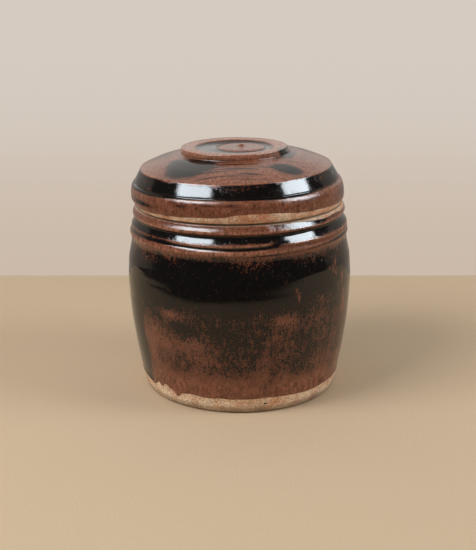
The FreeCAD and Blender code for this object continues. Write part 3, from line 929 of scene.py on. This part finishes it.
def makePaper():
    material, tree, shader = newMaterial("tanPaper")
    place = put(tree, "ShaderNodeTexCoord").outputs["Object"]
    fleck = put(tree, "ShaderNodeTexNoise", {
        "Vector": place, "Scale": paper["fleckScale"], "Detail": paper["fleckDetail"]})
    colour = blendIn(fleck.outputs[0], *paper["colours"])
    # painted shade along the near edge and the cut corner, kept from the camera's own rays so that only the
    # glaze reflects it
    east, north = split(place)[:2]
    slant = addScaled(east, paper["slant"][0], calc(north, "*", paper["slant"][1]))
    shade = calc(ease(north, 0.0, 1.0, *paper["shadeFrom"]), "*", ease(slant, 0.0, 1.0, *paper["slantFrom"]))
    shade = calc(shade, "MAXIMUM", put(tree, "ShaderNodeLightPath").outputs["Is Camera Ray"])
    join(blendIn(shade, paper["shade"], colour), shader["Base Color"])
    shader["Roughness"].default_value = paper["rough"]
    shader["Specular IOR Level"].default_value = paper["shine"]
    return material


def makeBackdrop():
    # a backdrop that glows as pale as written, though it is no lamp: an emission that gives off light of its
    # own, paler towards the top, and dimmer in the glaze's reflection than to the eye
    material, tree, shader = newMaterial("paleBackdrop")
    tree.nodes.remove(tree.nodes["Principled BSDF"])
    place = split(put(tree, "ShaderNodeTexCoord").outputs["Object"])
    share = ease(calc(place[1], "+", place[2]), 0.0, 1.0, *wallPaint["climb"])
    seen = put(tree, "ShaderNodeLightPath").outputs["Is Camera Ray"]
    dull = wallPaint["inGlaze"]
    colour = blendIn(share, wallPaint["low"], wallPaint["high"])
    glow = put(tree, "ShaderNodeEmission", {"Color": colour, "Strength": addScaled(seen, 1 - dull, dull)})
    join(glow.outputs[0], tree.nodes["Material Output"].inputs["Surface"])
    return material


left, right, front, back = (stageSizes[side] for side in ("left", "right", "front", "back"))
table = [(left, stageSizes["cutBack"], 0), (stageSizes["cutIn"], front, 0), (right, front, 0),
         (right, back, 0), (left, back, 0)]
stagePiece("tableTop", table, [tuple(range(len(table)))], makePaper())
start, wall, half = (stageSizes[key] for key in ("wallStart", "wallAt", "wallHalf"))
spots = [(back, -stageSizes["wallDrop"])]
for a in range(0, 91, stageSizes["wallStep"]):
    turn = math.radians(a)
    spots.append((start + (wall - start) * math.sin(turn), (wall - start) * (1 - math.cos(turn))))
spots.append((wall, stageSizes["wallTop"]))
sweep = [(x, y, z) for y, z in spots for x in (-half, half)]
strips = [(2 * i, 2 * i + 1, 2 * i + 3, 2 * i + 2) for i in range(len(spots) - 1)]
stagePiece("backdrop", sweep, strips, makeBackdrop())

# each lamp: the way to it from the pot, the way its long side runs, width and height, metres away
lamps = {
    "leftSoftbox": {"towards": (-0.598, -0.359, 0.641), "along": (0.417, -0.373, 0.179), "size": (0.6, 0.4),
                    "strength": 9.3},
    "rightSoftbox": {"towards": (0.775, -0.19, 0.51), "along": (0.30, 0.50, -0.14), "size": (0.5, 0.44),
                     "strength": 6.2},
    "frontFill": {"towards": (0.1, -0.93, 0.36), "along": (1, 0.1, 0), "size": (1.1, 0.8), "strength": 0.5},
    "skySoftbox": {"towards": (-0.15, 0.1, 0.98), "along": (1, 0.1, 0), "size": (1.2, 1.0), "strength": 0.7},
    # the pale room behind, as it shines in the top of the lid
    "backGlow": {"towards": (0.0, 0.82, 0.57), "along": (1, 0, 0), "size": (1.1, 0.9), "strength": 0.5,
                 "away": 0.69, "shines": True},
}
# the glints are cool daylight, so that the highlights burn out and the colours stay.
# a lamp that only shines stands just in front of its twin, or the twin hides it
glint = {"strength": 22.0, "colour": (0.86, 0.94, 1.0), "away": 0.97, "shines": True}
withGlint = ("leftSoftbox", "rightSoftbox")
lampAim = (0, 0, 0.08)


def softLamp(name, box):
    # a lamp that shines shows only in the glaze, and any other only lights
    data = bpy.data.lights.new(name, "AREA")
    data.shape = "RECTANGLE"
    data.size, data.size_y = box["size"]
    data.energy = box["strength"] * box["size"][0] * box["size"][1] * math.pi
    data.color = box.get("colour", (1, 1, 1))
    lamp = newPiece(name, data)
    towards = Vector(box["towards"]).normalized()
    side = Vector(box["along"])
    side = (side - towards * side.dot(towards)).normalized()
    lamp.matrix_world = Matrix((side, towards.cross(side), towards)).transposed().to_4x4()
    lamp.location = Vector(lampAim) + towards * box.get("away", 1.0)
    lamp.visible_camera = False
    lamp.visible_glossy = box.get("shines", False)
    lamp.visible_diffuse = not lamp.visible_glossy


for name, box in lamps.items():
    softLamp(name, box)
    if name in withGlint:
        softLamp(name + "Glint", {**box, **glint})

room = {"colour": paint(150, 148, 150), "strength": 0.25, "seenColour": wallPaint["high"]}
world = bpy.data.worlds.new("studio")
bpy.context.scene.world = world
world.use_nodes = True
tree = world.node_tree
light = tree.nodes["Background"]
light.inputs[0].default_value = room["colour"]
light.inputs[1].default_value = room["strength"]
pale = put(tree, "ShaderNodeBackground", {0: room["seenColour"]})
seen = put(tree, "ShaderNodeLightPath").outputs["Is Camera Ray"]
pick = put(tree, "ShaderNodeMixShader", {0: seen, 1: light.outputs[0], 2: pale.outputs[0]})
join(pick.outputs[0], tree.nodes["World Output"].inputs[0])

view = {"lens": 82.89, "place": (-0.00116, -0.594, 0.2376), "tilt": 72.79}
cameraData = bpy.data.cameras.new("camera")
cameraData.lens = view["lens"]
camera = newPiece("camera", cameraData)
camera.location = view["place"]
camera.rotation_euler = (math.radians(view["tilt"]), 0, 0)
bpy.context.scene.camera = camera
bpy.context.scene.view_settings.view_transform = "Standard"
print("stage, lamps and camera set")
